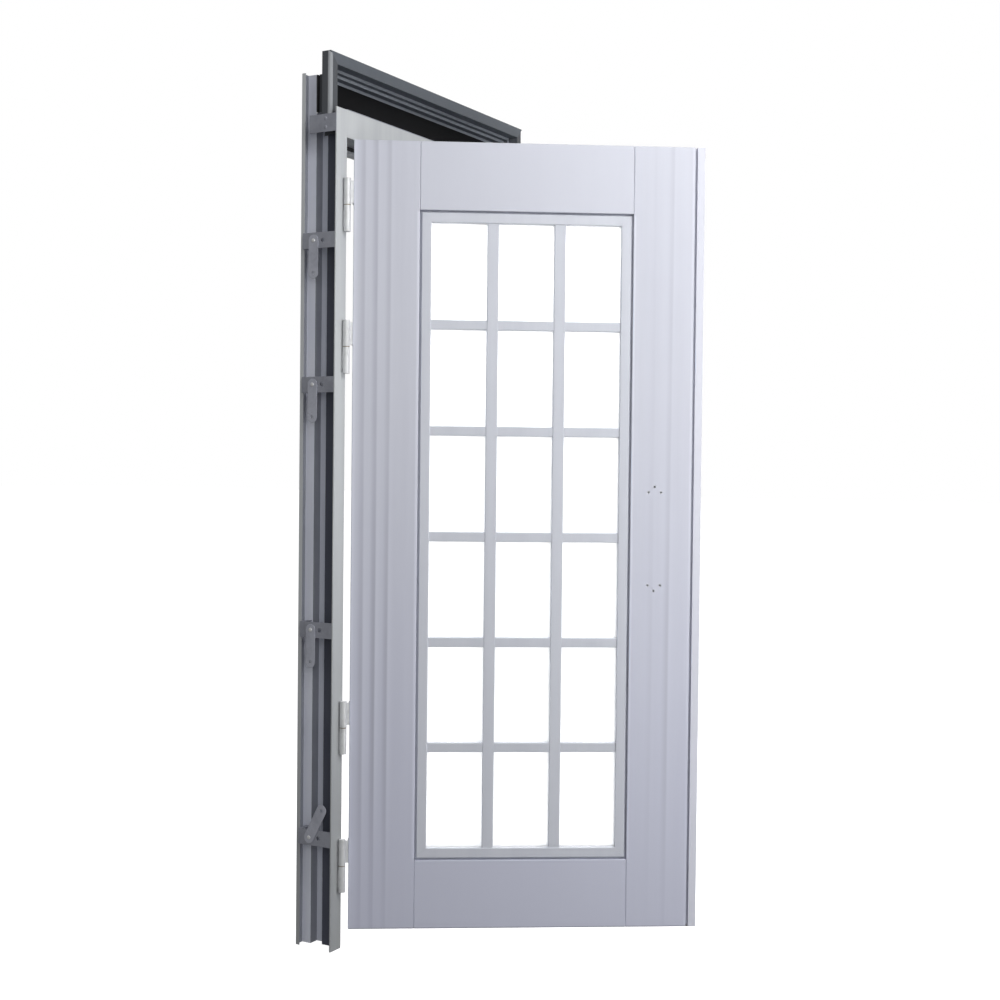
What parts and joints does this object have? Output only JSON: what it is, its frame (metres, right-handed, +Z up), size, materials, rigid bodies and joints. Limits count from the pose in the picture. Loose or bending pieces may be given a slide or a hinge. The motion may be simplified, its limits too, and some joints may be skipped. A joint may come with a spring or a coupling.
{
  "type": "hinged glass door with frame",
  "caption": "Steel door leaf with a grid of satin glass panes, hung on lift-off barrel hinges in a folded wall frame with an over panel and swivelling wall anchors.",
  "frame": {"origin": "middle of the doorway in the plane of the frame's front face, at the jamb feet", "axes": "+X along the wall from the hinge jamb to the lock jamb, +Y through the wall from the front face to the rear, +Z up"},
  "size_m": [1.0284, 0.9066, 2.328],
  "materials": {
    "frame_paint": "pale grey paint on galvanised sheet",
    "galvanised_sheet": "dull galvanised",
    "over_frame_paint": "satin dark grey paint",
    "over_panel_black": "dark panel",
    "seal_rubber": "matt black",
    "bright_steel": "satin bright",
    "washer_brass": "dull",
    "strap_steel": "dull galvanised",
    "leaf_paint": "satin pale grey paint with faint upright streaks",
    "satin_glass": "satin white, lets light through but hides what is behind it",
    "bar_aluminium": "satin pale grey paint"
  },
  "bodies": {
    "frame": {"hinge_jamb": "frame_paint", "lock_jamb": "frame_paint", "frame_head": "frame_paint", "frame_cap": "galvanised_sheet", "stop_seal": "seal_rubber", "over_leg_hinge": "over_frame_paint", "over_leg_lock": "over_frame_paint", "over_head": "over_frame_paint", "over_panel": "over_panel_black", "tie_plates": "galvanised_sheet", "tie_rivets": "bright_steel", "brackets_hinge": "galvanised_sheet", "brackets_lock": "galvanised_sheet", "anchor_rivets": "bright_steel", "corner_cleats": "galvanised_sheet", "hinge_lower": "bright_steel", "hinge_pins": "bright_steel", "hinge_washers": "washer_brass"},
    "leaf": {"hinge_upper": "bright_steel", "hinge_stile": "leaf_paint", "lock_stile": "leaf_paint", "edge_strip": "leaf_paint", "top_rail": "leaf_paint", "bottom_rail": "leaf_paint", "glass_sheet": "satin_glass", "front_beads": "bar_aluminium", "rear_beads": "bar_aluminium", "front_gasket": "seal_rubber", "rear_gasket": "seal_rubber", "front_uprights": "bar_aluminium", "front_crossbars": "bar_aluminium", "rear_uprights": "bar_aluminium", "rear_crossbars": "bar_aluminium", "leaf_sweep": "seal_rubber"},
    "strap_h1_body": {"strap_h1": "strap_steel"},
    "strap_h2_body": {"strap_h2": "strap_steel"},
    "strap_h3_body": {"strap_h3": "strap_steel"},
    "strap_h4_body": {"strap_h4": "strap_steel"},
    "strap_l1_body": {"strap_l1": "strap_steel"},
    "strap_l2_body": {"strap_l2": "strap_steel"},
    "strap_l3_body": {"strap_l3": "strap_steel"},
    "strap_l4_body": {"strap_l4": "strap_steel"}
  },
  "joints": [
    {"name": "leaf_swing", "type": "hinge", "parent": "frame", "child": "leaf", "pos_m": [-0.4747, -0.01, 1.0775], "axis": [0, 0, -1], "range_deg": [-57, 118]},
    {"name": "strap_h1_swivel", "type": "hinge", "parent": "frame", "child": "strap_h1_body", "pos_m": [-0.5113, 0.07, 0.29154], "axis": [1, 0, 0], "range_deg": [-228, 4]},
    {"name": "strap_h2_swivel", "type": "hinge", "parent": "frame", "child": "strap_h2_body", "pos_m": [-0.5113, 0.07, 0.83412], "axis": [1, 0, 0], "range_deg": [-20, 212]},
    {"name": "strap_h3_swivel", "type": "hinge", "parent": "frame", "child": "strap_h3_body", "pos_m": [-0.5113, 0.07, 1.47127], "axis": [1, 0, 0], "range_deg": [-20, 212]},
    {"name": "strap_h4_swivel", "type": "hinge", "parent": "frame", "child": "strap_h4_body", "pos_m": [-0.5113, 0.07, 1.84362], "axis": [1, 0, 0], "range_deg": [-20, 212]},
    {"name": "strap_l1_swivel", "type": "hinge", "parent": "frame", "child": "strap_l1_body", "pos_m": [0.5113, 0.07, 0.29154], "axis": [1, 0, 0], "range_deg": [-20, 212]},
    {"name": "strap_l2_swivel", "type": "hinge", "parent": "frame", "child": "strap_l2_body", "pos_m": [0.5113, 0.07, 0.83412], "axis": [1, 0, 0], "range_deg": [-20, 212]},
    {"name": "strap_l3_swivel", "type": "hinge", "parent": "frame", "child": "strap_l3_body", "pos_m": [0.5113, 0.07, 1.47127], "axis": [1, 0, 0], "range_deg": [-20, 212]},
    {"name": "strap_l4_swivel", "type": "hinge", "parent": "frame", "child": "strap_l4_body", "pos_m": [0.5113, 0.07, 1.84362], "axis": [1, 0, 0], "range_deg": [-20, 212]}
  ]
}
